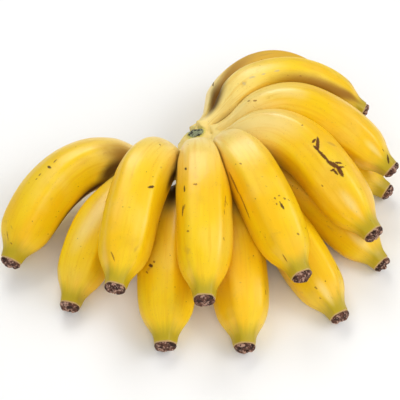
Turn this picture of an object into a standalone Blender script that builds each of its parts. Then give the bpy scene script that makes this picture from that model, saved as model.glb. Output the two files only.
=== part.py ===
# A hand of apple bananas, fourteen plump fingers in two rows on one small crown, lying on its lower row.
# Metres, +Z up. The fingers fan round the crown from the left (-X), past the front (-Y), to the back right.

import math

import bmesh
import bpy
import numpy as np

# Driving dimensions
CROWN_HEIGHT = 0.026       # middle of the crown above the level that all heights here start from
CROWN_RADIUS = 0.0165      # the fingers' necks begin on a ball of this radius
CROWN_GAP = 0.0005         # between that ball and the crown's own skin
FLOOR_HEIGHT = 0.0030      # the lower row is flattened this far up, where it lies on the table
TOUCH_GAP = 0.0006         # between two fingers that press on each other
END_GAP = 0.0003           # between a finger and the dried flower on its tip
RIDGE_DEPTH = 0.070        # how far the five flat sides lie inside the ridges, as a share of the radius
SIDES = 20                 # points round a finger, four for each of its five sides
RINGS = 19                 # rings along a finger
STATIONS = 140             # points on a finger's axis when distances to it are measured
SLOPE_STEP = 0.01          # share of a finger's length over which its direction is measured
HALVINGS = 18              # how often the search for a pressed point halves its range
STUB_RADIUS = 0.0054       # the cut stalk that stands on the crown
STUB_TOP = 0.0412
STUB_LEAN = (-0.0030, 0.0040)
STUB_SLOPE = 0.16          # its cut face falls away towards the front left
STUB_RINGS = ((0.35, 1.0), (1.0, 0.84))   # share of its height, and radius as a share of its own
CUT_HEADING = 136.0        # the hand was cut from its stalk on this side, in degrees
CUT_DEPTH = 0.0132         # the cut's distance from the crown's middle

# How high on the crown's ball most necks of each row begin, in degrees
UPPER = 38.0
LOWER = -8.0

# Surface colours and roughness
UPPER_PEEL = ((0.88, 0.60, 0.04), 0.48)
LOWER_PEEL = ((0.84, 0.53, 0.02), 0.48)
CROWN_SKIN = ((0.20, 0.22, 0.10), 0.85)
DRIED_FLOWER = ((0.07, 0.04, 0.03), 0.9)

# Each finger: where its neck stands on the crown (heading and lift, degrees), where its tip's centre is,
# how far its middle arches up and bows to its left, its greatest thickness, how early it bends (0 is
# even), how full it is towards the tip (1 is even), how stout its neck is (0 to 1), and where round it
# the middle of one flat side lies (degrees, 90 is on top). Places are from under the crown's middle.
FINGERS = {
    "upper_finger_1": ((-142, -26), (-0.122, -0.0905, 0.0155), 0.0185, -0.027, 0.039, 0.05, 1.22, 0.0, 70),
    "upper_finger_2": ((-132, 15), (-0.0505, -0.130, 0.040), 0.024, -0.0102, 0.0375, 0.48, 1.0, 0.15, 96),
    "upper_finger_3": ((-91, 44), (0.0025, -0.1412, 0.043), 0.0188, 0.001, 0.037, 0.50, 0.92, 1.0, 88),
    "upper_finger_4": ((-52, UPPER), (0.061, -0.122, 0.041), 0.023, 0.003, 0.037, 0.55, 1.0, 0.8, 80),
    "upper_finger_5": ((-14, UPPER), (0.109, -0.086, 0.038), 0.020, 0.018, 0.039, 0.50, 1.0, 0.8, 128),
    "upper_finger_6": ((30, UPPER), (0.1285, -0.028, 0.037), 0.020, 0.021, 0.037, 0.28, 1.0, 0.3, 122),
    "upper_finger_7": ((80, UPPER), (0.1165, 0.031, 0.037), 0.0175, 0.0215, 0.035, 0.05, 1.0, 0.0, 90),
    "lower_finger_1": ((-126, LOWER), (-0.0815, -0.1215, 0.010), 0.008, -0.016, 0.037, 0.0, 1.0, 0.0, 84),
    "lower_finger_2": ((-104, LOWER), (-0.021, -0.151, 0.010), 0.009, -0.007, 0.039, 0.15, 1.12, 0.0, 64),
    "lower_finger_3": ((-74, LOWER), (0.027, -0.152, 0.010), 0.009, 0.007, 0.038, 0.15, 1.12, 0.0, 98),
    "lower_finger_4": ((-38, LOWER), (0.0865, -0.1295, 0.010), 0.007, 0.004, 0.036, 0.15, 1.12, 0.0, 76),
    "lower_finger_5": ((-2, LOWER), (0.118, -0.088, 0.010), 0.006, 0.007, 0.035, 0.15, 1.1, 0.0, 92),
    "lower_finger_6": ((36, LOWER), (0.130, -0.024, 0.011), 0.004, 0.014, 0.034, 0.15, 1.0, 0.0, 84),
    "lower_finger_7": ((98, 10), (0.0985, 0.066, 0.023), 0.0165, 0.024, 0.034, -0.25, 1.0, 0.0, 70),
}

# Thickness along a finger: share of its length, and radius as a share of half its greatest thickness,
# with a slim neck and with a stout one
FINGER_PROFILE = (
    (0.00, 0.40, 0.40), (0.03, 0.34, 0.44), (0.07, 0.30, 0.52), (0.11, 0.33, 0.63), (0.17, 0.54, 0.80),
    (0.25, 0.83, 0.93), (0.37, 0.97, 0.99), (0.53, 1.00, 1.00), (0.67, 0.99, 0.99), (0.77, 0.95, 0.95),
    (0.84, 0.87, 0.87), (0.885, 0.74, 0.74), (0.925, 0.56, 0.56), (0.96, 0.43, 0.43), (1.00, 0.37, 0.37),
)

# The dried flower: distance past the tip, and radius as a share of the tip's own
FLOWER_PROFILE = ((0.0, 0.94), (0.0014, 0.96), (0.0025, 0.84), (0.0031, 0.60), (0.0029, 0.34), (0.0040, 0.14))
FLOWER_SIDES = 14          # points round it
FLOWER_WAVE = 0.06         # depth of its five puckers, as a share of its radius
FLOWER_TWIST = 40.0        # radians a metre of finger, so that no two flowers are turned alike

# The crown: its lower end reaches down to the table (height and radius), then a ball as lifts in degrees
CROWN_END = ((FLOOR_HEIGHT, 0.0080), (0.0075, 0.0082))
CROWN_LIFTS = (-58, -40, -25, -10, 10, 30, 50, 67)
CROWN_SIDES = 28

CROWN_CENTRE = np.array((0.0, 0.0, CROWN_HEIGHT))


def smooth_curve(knots, at):
    """A curve through the knots that never overshoots them."""
    x, y = np.array(knots, float).T
    step = np.diff(x)
    slope = np.diff(y) / step
    lean = np.zeros_like(y)
    lean[0], lean[-1] = slope[0], slope[-1]
    for i in range(1, len(y) - 1):
        if slope[i - 1] * slope[i] > 0:
            before, after = 2 * step[i] + step[i - 1], step[i] + 2 * step[i - 1]
            lean[i] = (before + after) / (before / slope[i - 1] + after / slope[i])
    k = np.clip(np.searchsorted(x, at) - 1, 0, len(step) - 1)
    t = (at - x[k]) / step[k]
    return (
        (1 + 2 * t) * (1 - t) ** 2 * y[k]
        + t * (1 - t) ** 2 * step[k] * lean[k]
        + t * t * (3 - 2 * t) * y[k + 1]
        + t * t * (t - 1) * step[k] * lean[k + 1]
    )


def unit(vectors):
    return vectors / np.linalg.norm(vectors, axis=-1, keepdims=True)


class Finger:
    """One banana: its axis, and its thickness along it."""

    def __init__(self, neck, tip, arch, bow, thickness, early, full, stout, face):
        heading, lift = np.radians(neck)
        level = math.cos(lift)
        out = np.array((level * math.cos(heading), level * math.sin(heading), math.sin(lift)))
        root = CROWN_CENTRE + CROWN_RADIUS * out
        chord = np.array(tip) - root
        left = unit(np.array((-chord[1], chord[0], 0.0)))
        t = np.linspace(0, 1, 4 * STATIONS)
        hump = np.sin(math.pi * (t + early * t * (1 - t)))[:, None]
        path = root + chord * t[:, None] + hump * (left * bow + np.array((0, 0, arch)))
        run = np.concatenate(([0], np.cumsum(np.linalg.norm(np.diff(path, axis=0), axis=1))))
        self.path, self.run, self.length = path, run / run[-1], run[-1]
        self.thickness, self.full, self.face = thickness, full, math.radians(face)
        self.profile = [(share, slim + stout * (wide - slim)) for share, slim, wide in FINGER_PROFILE]
        shares = np.linspace(0, 1, STATIONS)
        self.stations, self.station_radii = self.axis(shares), self.radius(shares)

    def axis(self, shares):
        return np.stack([np.interp(shares, self.run, self.path[:, k]) for k in range(3)], axis=-1)

    def radius(self, shares):
        return self.thickness / 2 * smooth_curve(self.profile, shares**self.full)

    def frame(self, shares):
        """Tangent, side and top of the axis at each share."""
        low, high = np.clip(shares - SLOPE_STEP, 0, 1), np.clip(shares + SLOPE_STEP, 0, 1)
        tangent = unit(self.axis(high) - self.axis(low))
        side = unit(np.cross(tangent, (0, 0, 1.0)))
        return tangent, side, np.cross(side, tangent)

    def outside(self, points):
        """How far each point is outside the finger's round body, and less than nothing inside it."""
        reach = np.linalg.norm(points[..., None, :] - self.stations, axis=-1) - self.station_radii
        return reach.min(axis=-1)


def ridged_rings(finger):
    """Rings of points along the finger, five-sided with round ridges, and the axis under each ring."""
    t = np.linspace(0, 1, RINGS)
    shares = 0.5 * t + 0.25 * (1 - np.cos(math.pi * t))
    side, top = finger.frame(shares)[1:]
    turn = 2 * math.pi * (np.arange(SIDES) + 0.5) / SIDES
    ridges = 1 - RIDGE_DEPTH * (0.5 + 0.5 * np.cos(5 * turn))
    turn = turn + finger.face
    spoke = np.cos(turn)[:, None] * side[:, None] + np.sin(turn)[:, None] * top[:, None]
    axis = finger.axis(shares)
    rings = axis[:, None] + spoke * (finger.radius(shares)[:, None] * ridges)[..., None]
    return rings, axis


def pressed(rings, axis, finger, others):
    """Rings drawn in to halfway where a neighbour takes the same room, as ripe fingers flatten each other."""
    spokes = rings - axis[:, None]
    kept = np.ones(rings.shape[:2])
    for other in others:
        if other.outside(finger.stations).min() > finger.thickness / 2 + TOUCH_GAP:
            continue
        low, high = np.zeros_like(kept), kept.copy()
        for _ in range(HALVINGS):
            middle = (low + high) / 2
            points = axis[:, None] + spokes * middle[..., None]
            free = other.outside(points) - finger.outside(points) > TOUCH_GAP
            low, high = np.where(free, middle, low), np.where(free, high, middle)
        whole = axis[:, None] + spokes * kept[..., None]
        clear = other.outside(whole) - finger.outside(whole) > TOUCH_GAP
        kept = np.where(clear, kept, low)
    return axis[:, None] + spokes * kept[..., None]


def tube_mesh(name, rings, ends):
    """A closed mesh on rings of points, with a point in the middle of each end."""
    mesh = bmesh.new()
    grid = [[mesh.verts.new(point) for point in ring] for ring in rings]
    count = len(grid[0])
    for near, far in zip(grid, grid[1:]):
        for j in range(count):
            k = (j + 1) % count
            mesh.faces.new((near[j], near[k], far[k], far[j]))
    for ring, end in zip((grid[0], grid[-1]), ends):
        middle = mesh.verts.new(end)
        for j in range(count):
            mesh.faces.new((ring[j], ring[(j + 1) % count], middle))
    bmesh.ops.recalc_face_normals(mesh, faces=mesh.faces)
    data = bpy.data.meshes.new(name)
    mesh.to_mesh(data)
    mesh.free()
    data.shade_smooth()
    data.set_sharp_from_angle(angle=math.radians(50))
    return data


def off_crown(rings):
    """The first ring lies on the crown's ball, and no other point is nearer its middle."""
    from_centre = rings - CROWN_CENTRE
    reach = CROWN_RADIUS / np.linalg.norm(from_centre, axis=-1, keepdims=True)
    reach[1:] = np.maximum(1, reach[1:])
    return CROWN_CENTRE + from_centre * reach


def finger_mesh(name, finger, others):
    rings, axis = ridged_rings(finger)
    rings = off_crown(pressed(rings, axis, finger, others))
    rings[..., 2] = np.maximum(rings[..., 2], FLOOR_HEIGHT)
    root = CROWN_CENTRE + CROWN_RADIUS * unit(rings[0].mean(axis=0) - CROWN_CENTRE)
    return tube_mesh(name, rings, (root, rings[-1].mean(axis=0)))


def flower_mesh(name, finger):
    """The dark dried flower on a finger's tip: a puckered cup with a small point in it."""
    end = np.ones(1)
    tangent, side, top = (vector[0] for vector in finger.frame(end))
    tip, radius = finger.axis(end)[0], finger.radius(end)[0]
    turn = 2 * math.pi * np.arange(FLOWER_SIDES) / FLOWER_SIDES
    spoke = np.cos(turn)[:, None] * side + np.sin(turn)[:, None] * top
    wave = 1 + FLOWER_WAVE * np.cos(5 * turn + FLOWER_TWIST * finger.length)
    rings = [
        tip + tangent * (END_GAP + past) + spoke * (radius * share * wave)[:, None]
        for past, share in FLOWER_PROFILE
    ]
    for ring in rings:
        ring[:, 2] = np.maximum(ring[:, 2], FLOOR_HEIGHT)
    last = tip + tangent * (END_GAP + FLOWER_PROFILE[-1][0])
    return tube_mesh(name, rings, (rings[0].mean(axis=0), last))


def crown_mesh(name):
    """The pad that the necks grow from, with the cut stalk standing on it."""
    turn = 2 * math.pi * np.arange(CROWN_SIDES) / CROWN_SIDES
    circle = np.stack((np.cos(turn), np.sin(turn), np.zeros(CROWN_SIDES)), axis=-1)
    ball = CROWN_RADIUS - CROWN_GAP
    rings = [circle * radius + (0, 0, height) for height, radius in CROWN_END]
    for lift in np.radians(CROWN_LIFTS):
        rings.append(CROWN_CENTRE + circle * ball * math.cos(lift) + (0, 0, ball * math.sin(lift)))
    foot = CROWN_HEIGHT + ball * math.sin(math.radians(CROWN_LIFTS[-1]))
    lean = np.array((*STUB_LEAN, 0))
    for share, spread in STUB_RINGS:
        ring = circle * STUB_RADIUS * spread + lean * share
        ring[:, 2] = foot + (STUB_TOP - foot) * share + share * STUB_SLOPE * (ring[:, 0] + ring[:, 1])
        rings.append(ring)
    rings = [cut_back(ring) for ring in rings]
    return tube_mesh(name, rings, (rings[0].mean(axis=0), rings[-1].mean(axis=0)))


def cut_back(points):
    """Points past the plane of the cut, moved onto it."""
    heading = math.radians(CUT_HEADING)
    facing = np.array((math.cos(heading), math.sin(heading), 0))
    past = (points - CROWN_CENTRE) @ facing - CUT_DEPTH
    return points - np.maximum(past, 0)[:, None] * facing


def material(name, colour, roughness):
    made = bpy.data.materials.new(name)
    made.use_nodes = True
    shader = made.node_tree.nodes["Principled BSDF"]
    shader.inputs["Base Color"].default_value = (*colour, 1)
    shader.inputs["Roughness"].default_value = roughness
    shader.inputs["Metallic"].default_value = 0
    made.diffuse_color = (*colour, 1)
    return made


def add(name, data, finish, parent):
    data.materials.append(material(name, *finish))
    made = bpy.data.objects.new(name, data)
    made.parent = parent
    bpy.context.scene.collection.objects.link(made)
    return made


def main():
    for old in list(bpy.data.objects):
        bpy.data.objects.remove(old)
    hand = bpy.data.objects.new("hand", None)
    bpy.context.scene.collection.objects.link(hand)

    fingers = {name: Finger(*sizes) for name, sizes in FINGERS.items()}
    pieces = [add("crown", crown_mesh("crown"), CROWN_SKIN, hand)]
    for name, finger in fingers.items():
        others = [other for other in fingers.values() if other is not finger]
        peel = UPPER_PEEL if name.startswith("upper") else LOWER_PEEL
        pieces.append(add(name, finger_mesh(name, finger, others), peel, hand))
        flower = name.replace("finger", "flower_end")
        pieces.append(add(flower, flower_mesh(flower, finger), DRIED_FLOWER, hand))

    corners = np.array([vertex.co for piece in pieces for vertex in piece.data.vertices])
    middle = (corners.min(axis=0) + corners.max(axis=0)) / 2
    hand.location = (-middle[0], -middle[1], -corners[:, 2].min())


main()
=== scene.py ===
# A hand of ripe apple bananas lying on a pale table.
import math

import bpy
import numpy as np
from mathutils import Matrix, Vector


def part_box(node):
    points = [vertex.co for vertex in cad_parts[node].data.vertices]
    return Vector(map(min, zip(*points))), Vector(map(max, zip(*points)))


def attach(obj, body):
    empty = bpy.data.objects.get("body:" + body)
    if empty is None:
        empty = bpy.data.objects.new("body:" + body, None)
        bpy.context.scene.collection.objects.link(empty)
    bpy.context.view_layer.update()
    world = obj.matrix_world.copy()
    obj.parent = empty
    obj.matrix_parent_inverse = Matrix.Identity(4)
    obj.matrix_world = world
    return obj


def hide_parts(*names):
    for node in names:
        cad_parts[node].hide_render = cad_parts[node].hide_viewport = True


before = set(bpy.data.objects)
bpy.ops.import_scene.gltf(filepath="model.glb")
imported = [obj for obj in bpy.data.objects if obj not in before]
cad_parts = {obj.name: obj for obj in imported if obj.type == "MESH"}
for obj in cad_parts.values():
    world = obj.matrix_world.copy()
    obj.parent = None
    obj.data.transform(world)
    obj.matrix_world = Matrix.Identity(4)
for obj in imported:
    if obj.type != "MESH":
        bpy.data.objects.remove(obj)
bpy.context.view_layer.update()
print("frame:", len(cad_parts), "nodes")


# Wraps one output socket of a material's node, so that a sum on masks reads as plain maths.
class Wire:
    def __init__(self, socket):
        self.socket = socket

    # One more node in the same material: its settings first, then values or wires for its sockets.
    def node(self, kind, settings=None, inputs=None, output=0):
        tree = self.socket.id_data
        made = tree.nodes.new("ShaderNode" + kind)
        for key, value in (settings or {}).items():
            setattr(made, key, value)
        for key, value in (inputs or {}).items():
            if isinstance(value, Wire):
                tree.links.new(value.socket, made.inputs[key])
            elif made.inputs[key].type == "RGBA":
                made.inputs[key].default_value = (*value, 1)
            else:
                made.inputs[key].default_value = value
        return Wire(made.outputs[output])

    def maths(self, operation, *values):
        return self.node("Math", {"operation": operation}, dict(enumerate(values)))

    def vector(self, operation, *values, output=0):
        return self.node("VectorMath", {"operation": operation}, dict(enumerate(values)), output)

    def __add__(self, other):
        return self.maths("ADD", self, other)

    def __radd__(self, other):
        return self.maths("ADD", other, self)

    def __sub__(self, other):
        return self.maths("SUBTRACT", self, other)

    def __rsub__(self, other):
        return self.maths("SUBTRACT", other, self)

    def __mul__(self, other):
        return self.maths("MULTIPLY", self, other)

    def __rmul__(self, other):
        return self.maths("MULTIPLY", other, self)

    def atLeast(self, other):
        return self.maths("MAXIMUM", self, other)

    # 0 below the first value and 1 above the second, or the other way round, with a soft step between.
    def rising(self, start, full):
        values = {0: self, 1: start, 2: full, 3: 0.0, 4: 1.0}
        return self.node("MapRange", {"interpolation_type": "SMOOTHSTEP"}, values)

    # This mask lays one colour over another.
    def lay(self, over, under):
        return self.node("Mix", {"data_type": "RGBA"}, {0: self, 6: under, 7: over}, 2)

    def noise(self, scale, detail=2.0, roughness=0.5, output=0):
        values = {"Vector": self, "Scale": scale, "Detail": detail, "Roughness": roughness}
        return self.node("TexNoise", None, values, output)

    # Scattered cells: how far each place is from the nearest cell's middle, or that cell's own colour.
    def cells(self, scale, output):
        values = {"Vector": self, "Scale": scale, "Randomness": 1.0}
        return self.node("TexVoronoi", {"feature": "F1"}, values, output)


def newMaterial(name, roughness):
    made = bpy.data.materials.new(name)
    made.use_nodes = True
    shader = made.node_tree.nodes["Principled BSDF"]
    shader.inputs["Roughness"].default_value = roughness
    return made, shader


def feed(shader, name, wire):
    shader.id_data.links.new(wire.socket, shader.inputs[name])


def readLayer(shader, name, output):
    return Wire(shader.outputs[0]).node("Attribute", {"attribute_name": name}, None, output)


def bumped(shader, height, distance, strength=1.0):
    values = {"Height": height, "Distance": distance, "Strength": strength}
    feed(shader, "Normal", height.node("Bump", None, values))


# Geometry helpers

def unit(vectors):
    return vectors / np.linalg.norm(vectors, axis=-1, keepdims=True)


# A curve through the knots that never overshoots them.
def smoothCurve(knots, at):
    x, y = np.array(knots, float).T
    step = np.diff(x)
    slope = np.diff(y) / step
    lean = np.zeros_like(y)
    lean[0], lean[-1] = slope[0], slope[-1]
    for i in range(1, len(y) - 1):
        if slope[i - 1] * slope[i] > 0:
            before, after = 2 * step[i] + step[i - 1], step[i] + 2 * step[i - 1]
            lean[i] = (before + after) / (before / slope[i - 1] + after / slope[i])
    k = np.clip(np.searchsorted(x, at) - 1, 0, len(step) - 1)
    t = (at - x[k]) / step[k]
    return (
        (1 + 2 * t) * (1 - t) ** 2 * y[k]
        + t * (1 - t) ** 2 * step[k] * lean[k]
        + t * t * (3 - 2 * t) * y[k + 1]
        + t * t * (t - 1) * step[k] * lean[k + 1]
    )


# A smooth random field over places, mostly between -1 and 1: a sum of waves whose bumps are from
# two thirds to one and a half times the given size.
def ripples(places, size, seed, waves=18):
    chance = np.random.default_rng(seed)
    pull = unit(chance.normal(size=(waves, 3))) * chance.uniform(0.7, 1.5, (waves, 1))
    start = chance.uniform(0, 2 * math.pi, waves)
    return np.sin(places @ pull.T * math.pi / size + start).sum(axis=-1) / math.sqrt(waves)


# A closed mesh on rings of points, with a point in the middle of each end. Layers are values kept
# on its points: one for each ring point, and one for each end.
def skinMesh(name, rings, ends, layers):
    count, around = rings.shape[:2]
    first = np.arange((count - 1) * around).reshape(count - 1, around)
    turned = np.roll(first, -1, axis=1)
    quads = np.stack((first, first + around, turned + around, turned), axis=-1).reshape(-1, 4)
    j = np.arange(around)
    k = (j + 1) % around
    top = (count - 1) * around
    start, finish = count * around, count * around + 1
    fans = [(a, b, start) for a, b in zip(j, k)] + [(top + b, top + a, finish) for a, b in zip(j, k)]
    made = bpy.data.meshes.new(name)
    made.from_pydata(np.concatenate((rings.reshape(-1, 3), ends)).tolist(), [], quads.tolist() + fans)
    for key, (onRings, onEnds) in layers.items():
        values = np.concatenate((onRings.reshape(count * around, -1), np.atleast_2d(onEnds)))
        addLayer(made, key, values)
    made.shade_smooth()
    return made


def addLayer(mesh, key, values):
    wide = values.shape[1] == 3
    layer = mesh.attributes.new(key, "FLOAT_VECTOR" if wide else "FLOAT", "POINT")
    layer.data.foreach_set("vector" if wide else "value", values.astype(np.float32).ravel())


# Puts a piece in the scene in place of one of the frame's solids.
def place(name, mesh, material, node):
    mesh.materials.append(material)
    made = bpy.data.objects.new(name, mesh)
    bpy.context.scene.collection.objects.link(made)
    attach(made, "root")
    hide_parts(node)


# The hand's own sizes, in metres and degrees
handSizes = {
    "crownHeight": 0.026,      # middle of the crown above the level that the tips' places start from
    "crownRadius": 0.0165,     # the necks begin on a ball of this radius
    "crownGap": 0.0005,        # the crown's own skin lies this far inside that ball
    "crownWidest": 10.0,       # the crown's solid is widest this many degrees off its middle
    "touchGap": 0.0006,        # between two fingers that press on each other
    "endGap": 0.0003,          # between a finger and its dried flower
    "floorHeight": 0.0030,     # the table's height above the level that the tips' places start from
}
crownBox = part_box("crown")
crownBall = handSizes["crownRadius"] - handSizes["crownGap"]
crownWide = crownBall * math.cos(math.radians(handSizes["crownWidest"]))
crownLift = handSizes["crownHeight"] - handSizes["floorHeight"]   # the crown's lower end lies on the table
crownMiddle = np.array((crownBox[1].x - crownWide, crownBox[0].y + crownWide, crownBox[0].z + crownLift))
handFoot = crownMiddle - (0, 0, handSizes["crownHeight"])

# Each finger: where its neck stands on the crown (heading and lift), where its tip's centre is, how far
# its middle arches up and bows to its left, its thickness, how early it bends, how full it is towards
# the tip, how stout its neck is, and where round it the middle of one flat side lies.
fingers = {
    "upper_finger_1": ((-142, -26), (-0.122, -0.0905, 0.0155), 0.0185, -0.027, 0.039, 0.05, 1.22, 0.0, 70),
    "upper_finger_2": ((-132, 15), (-0.0505, -0.130, 0.040), 0.024, -0.0102, 0.0375, 0.48, 1.0, 0.15, 96),
    "upper_finger_3": ((-91, 44), (0.0025, -0.1412, 0.043), 0.0188, 0.001, 0.037, 0.50, 0.92, 1.0, 88),
    "upper_finger_4": ((-52, 38), (0.061, -0.122, 0.041), 0.023, 0.003, 0.037, 0.55, 1.0, 0.8, 80),
    "upper_finger_5": ((-14, 38), (0.109, -0.086, 0.038), 0.020, 0.018, 0.039, 0.50, 1.0, 0.8, 128),
    "upper_finger_6": ((30, 38), (0.1285, -0.028, 0.037), 0.020, 0.021, 0.037, 0.28, 1.0, 0.3, 122),
    "upper_finger_7": ((80, 38), (0.1165, 0.031, 0.037), 0.0175, 0.0215, 0.035, 0.05, 1.0, 0.0, 90),
    "lower_finger_1": ((-126, -8), (-0.0815, -0.1215, 0.010), 0.008, -0.016, 0.037, 0.0, 1.0, 0.0, 84),
    "lower_finger_2": ((-104, -8), (-0.021, -0.151, 0.010), 0.009, -0.007, 0.039, 0.15, 1.12, 0.0, 64),
    "lower_finger_3": ((-74, -8), (0.027, -0.152, 0.010), 0.009, 0.007, 0.038, 0.15, 1.12, 0.0, 98),
    "lower_finger_4": ((-38, -8), (0.0865, -0.1295, 0.010), 0.007, 0.004, 0.036, 0.15, 1.12, 0.0, 76),
    "lower_finger_5": ((-2, -8), (0.118, -0.088, 0.010), 0.006, 0.007, 0.035, 0.15, 1.1, 0.0, 92),
    "lower_finger_6": ((36, -8), (0.130, -0.024, 0.011), 0.004, 0.014, 0.034, 0.15, 1.0, 0.0, 84),
    "lower_finger_7": ((98, 10), (0.0985, 0.066, 0.023), 0.0165, 0.024, 0.034, -0.25, 1.0, 0.0, 70),
}

fingerForm = {
    # share of the length, and radius as a share of half the thickness, with a slim and a stout neck
    "profile": (
        (0.00, 0.40, 0.40), (0.03, 0.34, 0.44), (0.07, 0.30, 0.52), (0.11, 0.33, 0.63), (0.17, 0.54, 0.80),
        (0.25, 0.83, 0.93), (0.37, 0.97, 0.99), (0.53, 1.00, 1.00), (0.67, 0.99, 0.99), (0.77, 0.95, 0.95),
        (0.84, 0.87, 0.87), (0.885, 0.74, 0.74), (0.925, 0.56, 0.56), (0.96, 0.43, 0.43), (1.00, 0.37, 0.37),
    ),
    "sides": 70,
    "rings": 130,
    "pathPoints": 560,         # how finely the axis is measured
    "stations": 140,           # places along the axis that neighbours are kept clear of
    "tangentStep": 0.01,       # share of the length either side that a direction is taken over
    "halvings": 14,            # how often a pressed point's place is narrowed down
    "ridgeDepth": 0.090,       # how far the flat sides lie inside the ridges, as a share of the radius
    "waveTop": 0.861,          # highest value of the wave that makes the ridges, and how far it falls
    "waveDrop": 2.222,
    "uneven": 0.10,            # how unequal the five sides are, in radians
    "twist": 9.0,              # degrees that the ridges turn from neck to tip
    "dents": 0.00035,          # height of the broad swells on the skin
    "dentSize": 0.022,
    "softRounds": 9,           # how far the rim of a pressed patch is rounded
}


# One banana: its axis, and its thickness along it.
class Finger:
    def __init__(self, index, neck, tip, arch, bow, thickness, early, full, stout, faceTurn):
        heading, lift = np.radians(neck)
        level = math.cos(lift)
        out = np.array((level * math.cos(heading), level * math.sin(heading), math.sin(lift)))
        root = crownMiddle + handSizes["crownRadius"] * out
        chord = handFoot + tip - root
        left = unit(np.array((-chord[1], chord[0], 0.0)))
        t = np.linspace(0, 1, fingerForm["pathPoints"])
        hump = np.sin(math.pi * (t + early * t * (1 - t)))[:, None]
        path = root + chord * t[:, None] + hump * (left * bow + np.array((0, 0, arch)))
        run = np.concatenate(([0], np.cumsum(np.linalg.norm(np.diff(path, axis=0), axis=1))))
        self.path, self.run, self.length = path, run / run[-1], run[-1]
        self.index, self.thickness, self.full = index, thickness, full
        self.faceTurn = math.radians(faceTurn)
        self.profile = [(share, slim + stout * (wide - slim)) for share, slim, wide in fingerForm["profile"]]
        shares = np.linspace(0, 1, fingerForm["stations"])
        self.stations, self.stationRadii = self.axis(shares), self.radius(shares)

    def axis(self, shares):
        return np.stack([np.interp(shares, self.run, self.path[:, k]) for k in range(3)], axis=-1)

    def radius(self, shares):
        return self.thickness / 2 * smoothCurve(self.profile, shares**self.full)

    # Tangent, side and top of the axis at each share.
    def directions(self, shares):
        step = fingerForm["tangentStep"]
        low, high = np.clip(shares - step, 0, 1), np.clip(shares + step, 0, 1)
        tangent = unit(self.axis(high) - self.axis(low))
        side = unit(np.cross(tangent, (0, 0, 1.0)))
        return tangent, side, np.cross(side, tangent)

    # How far each point is outside the finger's round body, and less than nothing inside it.
    def outside(self, points):
        reach = np.linalg.norm(points[..., None, :] - self.stations, axis=-1) - self.stationRadii
        return reach.min(axis=-1)


# How far out each ring point is kept where neighbours press on the finger, as a share of its spoke.
def pressedShares(axis, spokes, finger, others):
    kept = np.ones(spokes.shape[:2])
    for other in others:
        if other.outside(finger.stations).min() > finger.thickness / 2 + handSizes["touchGap"]:
            continue
        whole = axis[:, None] + spokes * kept[..., None]
        tight = other.outside(whole) - finger.outside(whole) <= handSizes["touchGap"]
        if not tight.any():
            continue
        hub = np.broadcast_to(axis[:, None], spokes.shape)[tight]
        spoke = spokes[tight]
        low, high = np.zeros(len(hub)), kept[tight]
        for _ in range(fingerForm["halvings"]):
            middle = (low + high) / 2
            points = hub + spoke * middle[:, None]
            free = other.outside(points) - finger.outside(points) > handSizes["touchGap"]
            low, high = np.where(free, middle, low), np.where(free, high, middle)
        kept[tight] = low
    for _ in range(fingerForm["softRounds"]):
        along = np.concatenate((kept[:1], kept, kept[-1:]))
        near = (along[2:] + along[:-2] + np.roll(kept, 1, axis=1) + np.roll(kept, -1, axis=1)) / 4
        kept = np.minimum(kept, near)
    return kept


def fingerMesh(name, finger, others):
    count, around = fingerForm["rings"], fingerForm["sides"]
    t = np.linspace(0, 1, count)
    shares = 0.5 * t + 0.25 * (1 - np.cos(math.pi * t))   # rings lie closer together at both ends
    side, top = finger.directions(shares)[1:]
    turn = 2 * math.pi * np.arange(around) / around
    phase = turn - finger.faceTurn - math.radians(fingerForm["twist"]) * (shares[:, None] - 0.5)
    phase = phase + fingerForm["uneven"] * np.sin(turn * 2 + finger.index)
    flat = np.cos(5 * phase) - np.cos(10 * phase) / 4 + np.cos(15 * phase) / 9
    ridge = (fingerForm["waveTop"] - flat) / fingerForm["waveDrop"]
    spoke = np.cos(turn)[:, None] * side[:, None] + np.sin(turn)[:, None] * top[:, None]
    axis = finger.axis(shares)
    radius = finger.radius(shares)[:, None] * (1 - fingerForm["ridgeDepth"] * (1 - ridge))
    spokes = spoke * radius[..., None]
    kept = pressedShares(axis, spokes, finger, others)
    swell = ripples(axis[:, None] + spokes, fingerForm["dentSize"], 40 + finger.index)
    fade = np.sin(math.pi * shares)[:, None]
    spokes = spokes * kept[..., None] + spoke * (fingerForm["dents"] * swell * fade)[..., None]
    rings = offCrown(axis[:, None] + spokes)
    rings[..., 2] = np.maximum(rings[..., 2], 0)
    root = crownMiddle + crownBall * unit(rings[0].mean(axis=0) - crownMiddle)
    ends = np.stack((root, rings[-1].mean(axis=0)))

    # The same points on a straightened finger of even thickness, in millimetres
    half = finger.thickness / 2
    straight = np.stack(np.broadcast_arrays(
        np.cos(turn) * half, np.sin(turn) * half, shares[:, None] * finger.length,
    ), axis=-1) * 1000
    layers = {
        "straight": (straight, ((0, 0, 0), (0, 0, finger.length * 1000))),
        "along": (np.broadcast_to(shares[:, None], ridge.shape), ((0.0,), (1.0,))),
        "ridge": (ridge, ((0.5,), (0.5,))),
    }
    return skinMesh(name, rings, ends, layers)


# The first ring lies on the crown's ball, and no other point is nearer its middle.
def offCrown(rings):
    fromMiddle = rings - crownMiddle
    reach = handSizes["crownRadius"] / np.linalg.norm(fromMiddle, axis=-1, keepdims=True)
    reach[1:] = np.maximum(1, reach[1:])
    return crownMiddle + fromMiddle * reach


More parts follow.
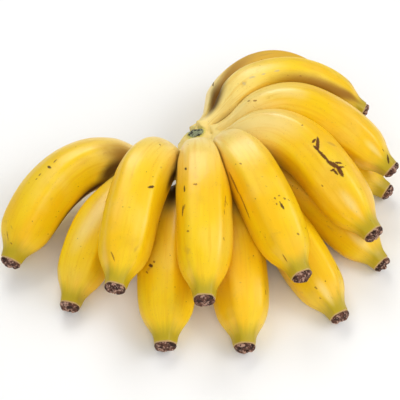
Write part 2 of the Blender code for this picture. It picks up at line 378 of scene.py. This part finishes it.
peelFinish = {
    "yellow": (0.90, 0.595, 0.0035),
    "warm": (0.90, 0.515, 0.0030),
    "pale": (0.93, 0.78, 0.33),
    "tan": (0.56, 0.30, 0.030),
    "dull": (0.70, 0.42, 0.012),
    "olive": (0.44, 0.330, 0.006),
    "streak": (0.82, 0.445, 0.002),
    "green": (0.30, 0.34, 0.020),
    "rim": (0.62, 0.42, 0.17),
    "fleck": (0.20, 0.085, 0.012),
    "roughness": 0.36,
    "specular": 0.58,
    "markRoughness": 0.45,     # added on flecks and dark marks
    "bumpHeight": 0.00022,
    "bumpStrength": 0.6,
    # noise scales, in bumps a millimetre
    "grainScale": 0.35,
    "cloudScale": 0.050,
    "paleScale": 0.035,
    "wornScale": 0.085,
    "dullScale": 0.055,
    "fibreScale": 0.42,
    "fleckScale": 0.22,
    "poreScale": 0.62,
    "raggedScale": 1.1,
    "ragged": 1.5,             # how far the marks' edges wander, in millimetres
    "drawnOut": 0.30,          # clouds and grain are drawn out along the finger, and fibres more
    "fibresDrawnOut": 0.07,
    # how strongly each layer covers what is under it
    "paleCover": 0.12,
    "neckCover": 0.80,
    "wornCover": 0.50,
    "dullCover": 0.34,
    "fibreCover": 0.42,
    "oliveCover": 0.92,
    "greenCover": 0.30,
    "fleckCover": 0.70,
    "poreCover": 0.50,
    # shares of the length over which a colour comes in
    "neckRange": (0.52, 0.12),
    "oliveRange": (0.908, 0.985),
    "greenRange": (0.040, 0.004),
    "rimRange": (0.996, 1.0),
}


# Colour of a mark on the peel, how strong it is, and how soft its edge is as a share of its size
markTones = {
    "dark": ((0.075, 0.022, 0.004), 0.94, 0.25),
    "brown": ((0.26, 0.095, 0.008), 0.82, 0.35),
    "scar": ((0.105, 0.022, 0.002), 0.95, 0.30),
    "tan": ((0.52, 0.29, 0.035), 0.55, 0.60),
    "grey": ((0.52, 0.43, 0.25), 0.60, 0.60),
    "orange": ((0.62, 0.28, 0.010), 0.60, 0.60),
    # painted highlight: a pale cream patch where the peel catches the light
    "cream": ((0.94, 0.80, 0.34), 0.42, 0.90),
    # painted shade: brown strips along edges that lie in shade between fingers
    "brown_shade": ((0.30, 0.120, 0.001), 0.85, 0.80),
    "shade": ((0.080, 0.030, 0.002), 0.95, 0.75),
}

# Marks on each finger: share of its length, where round it (degrees), half its length and half its
# width in millimetres, its lean from the finger's axis (degrees), and its tone. Besides specks, scars
# and stains, some marks are painted shade in hollows and gaps between fingers, and the cream ones
# are painted highlights.
fingerMarks = {
    "upper_finger_1": (
        (0.608, 83, 2.2, 0.9, 83, "dark"), (0.575, 82, 1.5, 0.6, -173, "brown"),
        (0.652, 77, 1.1, 0.7, 171, "brown"), (0.672, 77, 0.9, 0.5, 168, "brown"),
        (0.923, 65, 3.3, 0.7, 27, "brown"), (0.944, 85, 2.0, 0.5, 78, "brown"),
        # The broad brown mark that ends this line and the three marks below are painted shade, where the
        # right end turns down behind the next finger and along the lower edge.
        (0.887, 76, 1.8, 0.5, 52, "tan"), (0.29, 132, 20.0, 13.0, 139, "brown_shade"),
        (0.370, 160, 18.0, 7.0, 29, "shade"), (0.530, 194, 26.0, 7.5, 6, "shade"),
        (0.719, 194, 22.0, 6.0, -5, "shade"),
    ),
    "upper_finger_2": (
        (0.556, 129, 2.4, 0.9, 121, "dark"), (0.897, 76, 3.3, 0.7, 35, "brown"),
        (0.444, 135, 1.1, 0.7, 131, "tan"), (0.674, 96, 1.2, 0.5, 102, "tan"),
        (0.331, 104, 1.1, 0.5, 65, "brown"), (0.385, 182, 16.0, 4.5, 4, "shade"),
    ),
    "upper_finger_3": (
        (0.421, 54, 1.5, 0.8, 37, "dark"), (0.511, 74, 1.4, 0.7, 78, "brown"),
        (0.521, 51, 2.2, 0.9, 1, "dark"), (0.619, 44, 3.7, 0.9, -10, "dark"),
        (0.607, 50, 1.8, 0.7, -22, "brown"), (0.729, 58, 1.1, 0.7, 70, "brown"),
        (0.569, 141, 4.8, 0.6, -9, "brown"), (0.624, 136, 2.2, 0.5, -1, "brown"),
        (0.569, 148, 1.4, 0.5, 43, "brown"), (0.757, 134, 1.3, 0.6, 41, "brown"),
        (0.340, 13, 20.0, 1.9, 0, "shade"),
    ),
    "upper_finger_4": (
        (0.656, 88, 1.0, 0.6, 22, "brown"), (0.651, 98, 0.9, 0.5, 90, "brown"),
        (0.672, 106, 1.0, 0.6, 26, "brown"), (0.681, 94, 0.9, 0.5, 34, "brown"),
        (0.685, 86, 0.8, 0.5, -26, "brown"), (0.702, 95, 2.6, 0.9, 9, "dark"),
        (0.684, 113, 0.9, 0.5, 30, "brown"), (0.92, 44, 2.9, 0.9, -19, "brown"),
        (0.847, 106, 1.1, 0.6, 34, "brown"), (0.819, 141, 1.3, 0.6, 79, "brown"),
        (0.452, 57, 0.9, 0.5, 15, "brown"), (0.546, 83, 0.8, 0.5, 65, "tan"),
        # The two long thin brown marks that end this list are painted shade along the gap to the third
        # finger.
        (0.592, 82, 0.9, 0.5, 21, "tan"), (0.490, 18, 9.0, 1.2, -8, "brown"),
        (0.610, 15, 10.0, 1.0, -5, "brown"),
    ),
    "upper_finger_5": (
        (0.555, 81, 5.2, 1.2, -42, "scar"), (0.613, 74, 6.0, 1.1, 5, "scar"),
        (0.674, 79, 5.6, 1.5, 23, "scar"), (0.716, 82, 4.0, 1.5, -3, "scar"),
        (0.534, 79, 1.9, 0.9, 98, "scar"), (0.704, 74, 2.8, 0.9, 11, "scar"),
        (0.678, 89, 2.6, 0.8, 53, "scar"), (0.564, 73, 2.7, 0.8, 5, "scar"),
        (0.700, 88, 2.4, 0.8, 70, "scar"), (0.690, 72, 1.8, 0.7, 80, "scar"),
        (0.582, 109, 4.2, 1.7, 60, "tan"), (0.452, 87, 0.8, 0.5, 60, "brown"),
        (0.827, 102, 1.0, 0.5, 23, "tan"), (0.719, 37, 1.0, 0.5, 7, "brown"),
        # These two cream marks are painted highlights.
        (0.300, 68, 24.0, 9.0, 0, "cream"), (0.862, 62, 11.0, 4.0, 3, "cream"),
    ),
    "upper_finger_6": (
        (0.963, 80, 6.0, 1.1, -65, "dark"), (0.89, 126, 2.2, 0.8, 12, "orange"),
        (0.926, 124, 2.4, 0.8, 1, "orange"), (0.918, 85, 1.2, 0.7, 19, "brown"),
        (0.228, 82, 1.5, 0.7, -47, "brown"), (0.256, 73, 1.5, 0.7, -32, "brown"),
        # These two cream marks are painted highlights.
        (0.390, 78, 14.0, 4.5, -10, "cream"), (0.880, 62, 8.0, 3.0, 0, "cream"),
    ),
    "upper_finger_7": (
        (0.304, 73, 2.2, 1.0, -84, "grey"), (0.354, 75, 2.5, 1.2, -23, "grey"),
        (0.411, 69, 1.9, 0.9, -3, "grey"), (0.479, 68, 2.2, 0.9, 6, "grey"),
        (0.87, 127, 2.1, 0.8, -7, "brown"), (0.598, 55, 0.9, 0.5, 11, "brown"),
        # The dark mark first on this line is painted shade in the hollow by the neck, and the brown strips
        # from here on are painted shade along the lower side over the sixth finger.
        (0.160, 132, 17.0, 11.0, 35, "shade"), (0.640, 42, 34.0, 8.5, 2, "brown_shade"),
        (0.790, 52, 22.0, 7.0, 10, "brown_shade"), (0.887, 66, 13.0, 5.0, 25, "brown_shade"),
    ),
    "lower_finger_1": (
        # painted highlight
        (0.630, 90, 22.0, 6.5, -12, "cream"),
    ),
    "lower_finger_2": (
        (0.280, 84, 20.0, 8.0, 0, "shade"), (0.692, 56, 2.7, 1.3, 120, "tan"),
        (0.68, 59, 1.9, 1.0, 63, "dark"), (0.708, 51, 1.3, 0.7, 47, "brown"),
        (0.665, 66, 1.1, 0.7, 54, "brown"),
    ),
    "lower_finger_3": (
        (0.79, 142, 2.0, 0.7, 26, "brown"), (0.76, 85, 0.8, 0.5, 90, "tan"),
    ),
    "lower_finger_4": (
        (0.871, 52, 1.2, 0.7, 14, "brown"), (0.934, 77, 1.5, 0.6, 50, "tan"),
        (0.822, 139, 2.1, 0.9, -14, "brown"), (0.865, 81, 0.8, 0.5, 67, "brown"),
        # The last, cream mark is a painted highlight.
        (0.913, 43, 0.9, 0.5, 68, "brown"), (0.900, 66, 9.0, 4.0, 2, "cream"),
    ),
    "lower_finger_5": (
        # painted highlight
        (0.870, 58, 10.0, 4.5, 0, "cream"),
    ),
    "lower_finger_7": (
        (0.279, 137, 5.8, 0.9, -122, "dark"), (0.732, 124, 4.2, 1.0, 1, "dark"),
        (0.792, 123, 5.3, 0.9, -2, "dark"), (0.572, 98, 6.3, 0.7, 6, "tan"),
        # The dark mark first on this line is painted shade in the hollow by the neck, and the brown strip
        # after it and the broad tan patch below are painted shade over the rear finger.
        (0.190, 84, 16.0, 9.0, 36, "shade"), (0.35, 95, 30.0, 7.0, 10, "brown_shade"),
        (0.58, 100, 34.0, 10.0, 5, "tan"),
    ),
}


# Small random steps of up to about half that size, which make the marks' edges ragged.
def jitter(places, scale, size):
    chance = places.noise(scale, 3.0, 0.6, 1)
    chance = chance.vector("SUBTRACT", chance, (0.5, 0.5, 0.5))
    return chance.vector("MULTIPLY", chance, (size, size, size))


markDepth = 6.0   # a mark reaches at least this far in and out from the skin, in millimetres


# Where one mark covers the peel, and its colour.
def markMask(places, finger, share, turn, halfLong, halfWide, lean, tone):
    turn, lean = math.radians(turn), math.radians(lean)
    across, upward = Vector((-math.sin(turn), math.cos(turn), 0)), Vector((0, 0, 1))
    longways = upward * math.cos(lean) + across * math.sin(lean)
    sideways = across * math.cos(lean) - upward * math.sin(lean)
    spin = Matrix((longways, sideways, longways.cross(sideways))).transposed().to_euler()
    reach = finger.thickness / 2 * 1000
    spot = (math.cos(turn) * reach, math.sin(turn) * reach, share * finger.length * 1000)
    sizes = (halfLong, halfWide, max(markDepth, halfWide))
    near = places.node("Mapping", {"vector_type": "TEXTURE"}, {0: places, 1: spot, 2: spin, 3: sizes})
    colour, strength, soft = markTones[tone]
    distance = near.vector("LENGTH", near, output="Value")
    return distance.rising(1 + soft * 0.4, 1 - soft) * strength, colour


# Yellow peel, cream towards the neck, partly its own colour and partly painted highlight, olive just
# before the tip, with worn patches, pores, small brown flecks and the finger's own marks, some of them
# painted shade and painted highlights. Its places are in millimetres on the straightened finger.
def peelMaterial(name, finger):
    look = peelFinish
    made, shader = newMaterial(name, look["roughness"])
    shader.inputs["Specular IOR Level"].default_value = look["specular"]
    straight = readLayer(shader, "straight", "Vector")
    along = readLayer(shader, "along", "Fac")
    ridge = readLayer(shader, "ridge", "Fac")
    shift = (finger.index * 61.0, finger.index * -43.0, finger.index * 29.0)   # no two fingers alike
    apart = straight.vector("ADD", straight, shift)
    drawn = apart.vector("MULTIPLY", apart, (1.0, 1.0, look["drawnOut"]))

    cloud = drawn.noise(look["cloudScale"], 3.0, 0.55)
    grain = drawn.noise(look["grainScale"], 3.0, 0.6)
    colour = cloud.rising(0.42, 0.66).lay(look["warm"], look["yellow"])
    patches = apart.noise(look["paleScale"], 2.0).rising(0.46, 0.72) * look["paleCover"]
    # paler towards the neck: partly the peel's own paler neck, partly a painted highlight of the sheen over
    # the humps
    paler = patches + along.rising(*look["neckRange"]) * look["neckCover"]
    colour = paler.lay(look["pale"], colour)
    worn = apart.noise(look["wornScale"], 4.0, 0.62).rising(0.60, 0.74) * grain.rising(0.42, 0.60)
    colour = (worn * look["wornCover"]).lay(look["tan"], colour)
    dull = apart.noise(look["dullScale"], 4.0, 0.60).rising(0.52, 0.72)
    colour = (dull * look["dullCover"]).lay(look["dull"], colour)
    colour = ((grain - 0.5) * 0.5).atLeast(0).lay(look["warm"], colour)
    fibres = apart.vector("MULTIPLY", apart, (1.0, 1.0, look["fibresDrawnOut"]))
    fibres = fibres.noise(look["fibreScale"], 3.0, 0.6)
    colour = (fibres.rising(0.50, 0.68) * look["fibreCover"]).lay(look["streak"], colour)

    edge = (grain - 0.5) * 0.03
    tipOlive = (along + edge + ridge * 0.010).rising(*look["oliveRange"])
    neckGreen = (along + edge * 0.5).rising(*look["greenRange"])
    colour = (tipOlive * look["oliveCover"]).lay(look["olive"], colour)
    colour = (neckGreen * look["greenCover"]).lay(look["green"], colour)
    colour = (along + edge * 0.12).rising(*look["rimRange"]).lay(look["rim"], colour)

    near = apart.cells(look["fleckScale"], "Distance")
    chosen = apart.cells(look["fleckScale"], "Color")
    lucky = chosen.node("SeparateColor", None, {0: chosen}, 0)
    flecks = near.rising(0.12, 0.05) * lucky.rising(0.68, 0.76)
    colour = (flecks * look["fleckCover"]).lay(look["fleck"], colour)
    pores = apart.cells(look["poreScale"], "Distance").rising(0.26, 0.10) * grain.rising(0.44, 0.60)
    colour = (pores * look["poreCover"]).lay(look["tan"], colour)
    ragged = straight.vector("ADD", straight, jitter(apart, look["raggedScale"], look["ragged"]))
    covered = flecks
    for mark in fingerMarks.get(name, ()):
        mask, tone = markMask(ragged, finger, *mark)
        colour = mask.lay(tone, colour)
        # cream marks are painted highlights, so they keep the peel's gloss
        if mark[-1] != "cream":   # pale marks are as glossy as the peel round them
            covered = covered.atLeast(mask)
    feed(shader, "Base Color", colour)

    rough = drawn.noise(0.12, 2.0) * 0.16 + (look["roughness"] - 0.08)
    feed(shader, "Roughness", rough + tipOlive * 0.10 + covered * look["markRoughness"])
    height = apart.noise(0.22, 2.0) + grain * 0.35 + apart.noise(1.3, 2.0) * 0.12
    bumped(shader, height, look["bumpHeight"], look["bumpStrength"])
    return made


# The dried flower on a tip
flowerForm = {
    # distance past the tip, and radius as a share of the tip's own
    "profile": (
        (-0.0004, 0.86), (0.0003, 0.92), (0.0010, 0.93), (0.0017, 0.89), (0.0023, 0.80), (0.0028, 0.69),
        (0.0031, 0.57), (0.0032, 0.46), (0.0030, 0.36), (0.0031, 0.28), (0.0035, 0.20), (0.0038, 0.12),
        (0.0040, 0.06),
    ),
    "sides": 56,
    "split": 3,                # rings between two knots of the profile
    "folds": 9,
    "foldDepth": 0.07,
    "wave": 0.00045,           # how far its rim rises and falls
    "grownAt": 6,              # number of the knot from which folds have their full depth
    "rough": 0.00032,          # height of the crumpled surface
    "roughSize": 0.0022,
}


def flowerMesh(name, finger):
    form = flowerForm
    chance = np.random.default_rng(100 + finger.index)
    end = np.ones(1)
    tangent, side, top = (vector[0] for vector in finger.directions(end))
    tip, radius = finger.axis(end)[0], finger.radius(end)[0]
    knots = np.array(form["profile"])
    at = np.linspace(0, len(knots) - 1, (len(knots) - 1) * form["split"] + 1)
    past = np.interp(at, np.arange(len(knots)), knots[:, 0])
    share = np.interp(at, np.arange(len(knots)), knots[:, 1])
    turn = 2 * math.pi * np.arange(form["sides"]) / form["sides"]
    starts = chance.uniform(0, 2 * math.pi, 3)
    folds = np.sin(form["folds"] * turn + starts[0]) * 0.6
    folds = folds + np.sin(5 * turn + starts[1]) + np.sin(2 * turn + starts[2]) * 0.5
    deep = np.clip(at / form["grownAt"], 0, 1)[:, None]
    spread = share[:, None] * (1 + form["foldDepth"] * folds * 0.5 * deep)
    lift = past[:, None] + form["wave"] * np.sin(3 * turn + starts[1]) * deep
    spoke = np.cos(turn)[:, None] * side + np.sin(turn)[:, None] * top
    rings = tip + tangent * (handSizes["endGap"] + lift)[..., None]
    rings = rings + spoke[None] * (radius * spread)[..., None]
    crumple = ripples(rings, form["roughSize"], 200 + finger.index, 30)
    rings = rings + (spoke[None] * 0.7 + tangent * 0.7) * (form["rough"] * crumple * deep)[..., None]
    rings[..., 2] = np.maximum(rings[..., 2], 0)
    ends = np.stack((rings[0].mean(axis=0), rings[-1].mean(axis=0)))
    layers = {
        "out": (np.broadcast_to((at / at[-1])[:, None], spread.shape), ((0.0,), (1.0,))),
        "crumple": (crumple, ((0.0,), (0.0,))),
    }
    return skinMesh(name, rings, ends, layers)


flowerFinish = {
    "black": (0.030, 0.014, 0.011),
    "brown": (0.13, 0.055, 0.036),
    "pink": (0.52, 0.32, 0.24),
    "cream": (0.66, 0.48, 0.22),
    "roughness": 0.78,
    "specular": 0.25,
    "blotchScale": 300.0,      # noise scales, in bumps a metre
    "streakScale": 750.0,
    "bumpHeight": 0.0004,
    "bumpStrength": 0.8,
}


def flowerMaterial(name, index):
    made, shader = newMaterial(name, flowerFinish["roughness"])
    shader.inputs["Specular IOR Level"].default_value = flowerFinish["specular"]
    spot = Wire(shader.outputs[0]).node("NewGeometry", None, None, "Position")
    spot = spot.vector("ADD", spot, (index * 0.31, index * 0.17, 0.0))
    out = readLayer(shader, "out", "Fac")
    crumple = readLayer(shader, "crumple", "Fac")
    blotch = spot.noise(flowerFinish["blotchScale"], 3.0, 0.65)
    streak = spot.noise(flowerFinish["streakScale"], 3.0, 0.6)
    colour = blotch.rising(0.40, 0.60).lay(flowerFinish["brown"], flowerFinish["black"])
    bare = (streak + crumple * 0.07 + out.rising(0.45, 0.75) * 0.05).rising(0.52, 0.64)
    colour = (bare * 0.85).lay(flowerFinish["pink"], colour)
    colour = (out + (streak - 0.5) * 0.16).rising(0.10, 0.03).lay(flowerFinish["cream"], colour)
    feed(shader, "Base Color", colour)
    bumped(shader, streak + blotch, flowerFinish["bumpHeight"], flowerFinish["bumpStrength"])
    return made


# Crown: the pad that the necks grow out of, and the cut stalk on it
crownForm = {
    # its lower end, from the table up into the ball: height and radius
    "lowerEnd": ((0.0, 0.0080), (0.0045, 0.0082), (0.0095, 0.0090), (0.0140, 0.0100)),
    "cutHeading": 136.0,       # the hand was cut from its stalk on this side, in degrees
    "cutDepth": 0.0132,
    "cutEdge": 0.0012,         # how softly the cut face begins
    "cutReach": 1.25,          # only skin within this share of the ball's radius is cut back
    "stubRadius": 0.0054,
    "stubFlare": (1.06, 0.22),         # its foot is wider than that, and this much is lost upwards
    "stubSunk": 0.92,          # share of the crown's ball, up from its middle, at which it starts
    "stubTop": 0.0412,         # above the same level as the crown's height
    "stubLean": (-0.0030, 0.0040),
    "stubSlope": 0.00096,      # how far its cut top rises to the right and falls to the rear
    "topDepth": (0.0014, 0.0008),      # the cut top's look begins this deep, and is full this far up
    "skirt": 0.55,             # share of the ball, up from its middle, below which the stub's green fades
    "collar": 0.050,           # share of each finger that the crown's skin runs up
    "collarSpread": (1.05, 0.90),      # as a share of the neck's radius, where it starts and ends
    "collarRings": 8,
    "sides": 24,
    "grain": 0.0008,           # size of the grains that the parts are fused with
    "smoothing": 5,
    "crumple": (0.00022, 0.00020),     # height of the uneven skin, and what is added on cut faces
    "crumpleSize": 0.0026,
}


def ballMesh(centre, radius, count=20, around=36, pole=0.08):
    lift = np.linspace(-math.pi / 2 + pole, math.pi / 2 - pole, count)[:, None]
    turn = 2 * math.pi * np.arange(around) / around
    level = np.cos(lift)
    ball = np.stack((level * np.cos(turn), level * np.sin(turn), np.sin(lift) + 0 * turn), axis=-1)
    ends = centre + np.array(((0, 0, -radius), (0, 0, radius)))
    return skinMesh("ball", centre + ball * radius, ends, {})


# Joins closed meshes into one skin, by fine grains, and smooths it.
def fused(name, meshes, grain, rounds):
    points, faces = [], []
    for mesh in meshes:
        base = len(points)
        points += [tuple(vertex.co) for vertex in mesh.vertices]
        faces += [[base + k for k in face.vertices] for face in mesh.polygons]
        bpy.data.meshes.remove(mesh)
    rough = bpy.data.meshes.new(name + "_rough")
    rough.from_pydata(points, [], faces)
    worker = bpy.data.objects.new(name + "_rough", rough)
    bpy.context.scene.collection.objects.link(worker)
    remesh = worker.modifiers.new("grains", "REMESH")
    remesh.mode, remesh.voxel_size = "VOXEL", grain
    smooth = worker.modifiers.new("smooth", "SMOOTH")
    smooth.factor, smooth.iterations = 0.5, rounds
    reader = worker.evaluated_get(bpy.context.evaluated_depsgraph_get())
    made = bpy.data.meshes.new_from_object(reader)
    made.name = name
    bpy.data.objects.remove(worker)
    bpy.data.meshes.remove(rough)
    return made


def crownMesh(name, hand):
    form = crownForm
    parts = [ballMesh(crownMiddle, crownBall)]
    turn = 2 * math.pi * np.arange(form["sides"]) / form["sides"]
    around = np.stack((np.cos(turn), -np.sin(turn), 0 * turn), axis=-1)
    under = crownMiddle * (1, 1, 0)
    lowerEnd = np.array([under + around * wide + (0, 0, height) for height, wide in form["lowerEnd"]])
    parts.append(skinMesh("lower_end", lowerEnd, lowerEnd[[0, -1]].mean(axis=1), {}))
    for finger in hand:
        shares = np.linspace(0, form["collar"], form["collarRings"])
        side, top = finger.directions(shares)[1:]
        spread = np.linspace(*form["collarSpread"], form["collarRings"])
        spoke = np.cos(turn)[:, None] * side[:, None] + np.sin(turn)[:, None] * top[:, None]
        rings = finger.axis(shares)[:, None] + spoke * (finger.radius(shares) * spread)[:, None, None]
        root = (crownMiddle + rings[0].mean(axis=0)) / 2
        parts.append(skinMesh("collar", rings, np.stack((root, rings[-1].mean(axis=0))), {}))
    lean = np.array((*form["stubLean"], 0))
    topLevel = handFoot[2] + form["stubTop"]
    low = crownMiddle[2] + crownBall * form["stubSunk"]
    foot, lost = form["stubFlare"]
    stub = []
    for share in np.linspace(-0.6, 1, 9):   # from inside the crown to the cut top
        grown = max(share, 0)
        ring = under + around * form["stubRadius"] * (foot - lost * grown) + lean * share
        ring[:, 2] = low + (topLevel - low) * share
        ring[:, 2] += grown * form["stubSlope"] * (around[:, 0] - around[:, 1])
        stub.append(ring)
    stub = np.array(stub)
    parts.append(skinMesh("stub", stub, stub[[0, -1]].mean(axis=1), {}))
    made = fused(name, parts, form["grain"], form["smoothing"])

    points = np.zeros(len(made.vertices) * 3, np.float32)
    made.vertices.foreach_get("co", points)
    points = points.reshape(-1, 3).astype(float)
    heading = math.radians(form["cutHeading"])
    facing = np.array((math.cos(heading), math.sin(heading), 0))
    past = (points - crownMiddle) @ facing - form["cutDepth"]
    nearBall = np.linalg.norm(points - crownMiddle, axis=-1) < handSizes["crownRadius"] * form["cutReach"]
    cut = np.where(nearBall, np.clip(1 + past / form["cutEdge"], 0, 1), 0)
    points -= np.where(nearBall, np.maximum(past, 0), 0)[:, None] * facing
    fromStub = np.linalg.norm((points - handFoot - lean)[:, :2], axis=-1)
    depth, full = form["topDepth"]
    flatTop = np.clip((points[:, 2] - (topLevel - depth)) / full, 0, 1)
    cut = np.maximum(cut, np.where(fromStub < form["stubRadius"], flatTop, 0))
    crumple = ripples(points, form["crumpleSize"], 301, 30)
    height, onCut = form["crumple"]
    points += unit(points - crownMiddle) * (crumple * (height + onCut * cut))[:, None]
    points[:, 2] = np.maximum(points[:, 2], 0)
    made.vertices.foreach_set("co", points.astype(np.float32).ravel())
    addLayer(made, "cut", cut[:, None])
    below = np.maximum(0, crownMiddle[2] + crownBall * form["skirt"] - points[:, 2])
    addLayer(made, "stub", ((fromStub + below) * 1000)[:, None])
    made.shade_smooth()
    return made


crownFinish = {
    "green": (0.16, 0.19, 0.075),
    "grey": (0.31, 0.35, 0.20),
    "lime": (0.58, 0.52, 0.09),
    "neck": (0.92, 0.72, 0.240),
    "dark": (0.020, 0.018, 0.010),
    "roughness": 0.72,
    "blotchScale": 260.0,      # noise scales, in bumps a metre
    "fineScale": 900.0,
    "wander": 4.0,             # how far the colours' borders wander round the stub, in millimetres
    "limeRange": (4.8, 5.8),   # distances from the stub's middle, in millimetres
    "neckRange": (5.4, 8.0),
    "speckRange": (6.4, 5.0),
    "bumpHeight": 0.0004,
    "bumpStrength": 0.8,
}


def crownMaterial(name):
    look = crownFinish
    made, shader = newMaterial(name, look["roughness"])
    spot = Wire(shader.outputs[0]).node("NewGeometry", None, None, "Position")
    cut = readLayer(shader, "cut", "Fac")
    stub = readLayer(shader, "stub", "Fac")
    blotch = spot.noise(look["blotchScale"], 3.0, 0.6)
    fine = spot.noise(look["fineScale"], 3.0, 0.6)
    colour = blotch.rising(0.36, 0.64).lay(look["grey"], look["green"])
    fromStub = stub + (blotch - 0.5) * look["wander"]
    colour = fromStub.rising(*look["limeRange"]).lay(look["lime"], colour)
    colour = fromStub.rising(*look["neckRange"]).lay(look["neck"], colour)
    sawn = fine.rising(0.34, 0.56).lay(look["grey"], look["dark"])
    colour = (cut.rising(0.3, 1.0) * 0.8).lay(sawn, colour)
    specks = blotch.rising(0.54, 0.62) * stub.rising(*look["speckRange"])
    colour = specks.lay(look["dark"], colour)
    feed(shader, "Base Color", colour)
    bumped(shader, fine + blotch, look["bumpHeight"], look["bumpStrength"])
    return made


# Building the hand
hand = {name: Finger(index, *sizes) for index, (name, sizes) in enumerate(fingers.items())}
for name, finger in hand.items():
    others = [other for other in hand.values() if other is not finger]
    place("peel_of_" + name, fingerMesh(name, finger, others), peelMaterial(name, finger), name)
    flower = name.replace("finger", "flower_end")
    dried = flowerMesh(flower, finger)
    place("dried_" + flower, dried, flowerMaterial(flower, finger.index), flower)
print("fingers and flower ends:", len(hand))
place("fused_crown", crownMesh("fused_crown", hand.values()), crownMaterial("crown"), "crown")
print("crown")


# Table, light and camera
studio = {
    "floorSize": 6.0,
    "floorColour": (0.93, 0.93, 0.925),
    "floorShade": (0.925, 0.925, 0.92),
    "floorRoughness": 0.75,
    "floorDrop": 0.0002,       # how far the floor lies under the hand
    "worldColour": (1.0, 0.99, 0.97),
    "worldStrength": 0.255,
    # name, size, watts, heading and height in degrees, distance, and whether it leaves gloss
    "lamps": (
        ("back_softbox", 0.60, 4.1, 104.0, 46.0, 1.05, True),
        ("rear_fill", 0.8, 2.0, 150.0, 60.0, 1.2, False),
        ("right_softbox", 0.60, 2.8, 2.0, 42.0, 1.10, True),
        ("front_fill", 0.9, 4.9, -80.0, 38.0, 1.25, False),
        ("right_fill", 0.9, 3.8, -26.0, 34.0, 1.3, False),
        ("left_fill", 0.9, 3.0, -128.0, 34.0, 1.3, False),
    ),
    "target": (0.0, -0.054, 0.008),    # from the crown's middle
    "height": 47.0,
    "distance": 0.600,
    "lens": 82.0,
    "nearest": 0.05,           # what is nearer to the camera isn't drawn
}


def makeFloor():
    half = studio["floorSize"] / 2
    corners = [(-half, -half, 0), (half, -half, 0), (half, half, 0), (-half, half, 0)]
    mesh = bpy.data.meshes.new("floor")
    mesh.from_pydata(corners, [], [(0, 1, 2, 3)])
    made, shader = newMaterial("floor", studio["floorRoughness"])
    spot = Wire(shader.outputs[0]).node("NewGeometry", None, None, "Position")
    shade = spot.noise(3.0, 2.0).rising(0.3, 0.7)
    feed(shader, "Base Color", shade.lay(studio["floorColour"], studio["floorShade"]))
    mesh.materials.append(made)
    floor = bpy.data.objects.new("floor", mesh)
    floor.location.z = -studio["floorDrop"]
    bpy.context.scene.collection.objects.link(floor)


def direction(heading, height):
    heading, height = math.radians(heading), math.radians(height)
    level = math.cos(height)
    return Vector((level * math.cos(heading), level * math.sin(heading), math.sin(height)))


def makeLamps(target):
    for name, size, watts, heading, height, distance, glossy in studio["lamps"]:
        lamp = bpy.data.lights.new(name, "AREA")
        lamp.shape, lamp.size, lamp.energy = "DISK", size, watts
        made = bpy.data.objects.new(name, lamp)
        towards = direction(heading, height)
        made.location = target + towards * distance
        made.rotation_euler = towards.to_track_quat("Z", "Y").to_euler()
        made.visible_glossy = glossy
        bpy.context.scene.collection.objects.link(made)
    world = bpy.data.worlds.new("studio")
    world.use_nodes = True
    background = world.node_tree.nodes["Background"]
    background.inputs["Color"].default_value = (*studio["worldColour"], 1)
    background.inputs["Strength"].default_value = studio["worldStrength"]
    bpy.context.scene.world = world


def makeCamera(target):
    lens = bpy.data.cameras.new("camera")
    lens.lens, lens.clip_start = studio["lens"], studio["nearest"]
    made = bpy.data.objects.new("camera", lens)
    back = direction(-90.0, studio["height"])
    made.location = target + back * studio["distance"]
    made.rotation_euler = back.to_track_quat("Z", "Y").to_euler()
    bpy.context.scene.collection.objects.link(made)
    bpy.context.scene.camera = made


target = Vector(crownMiddle) + Vector(studio["target"])
makeFloor()
makeLamps(target)
makeCamera(target)
bpy.context.scene.view_settings.view_transform = "Standard"
print("studio")
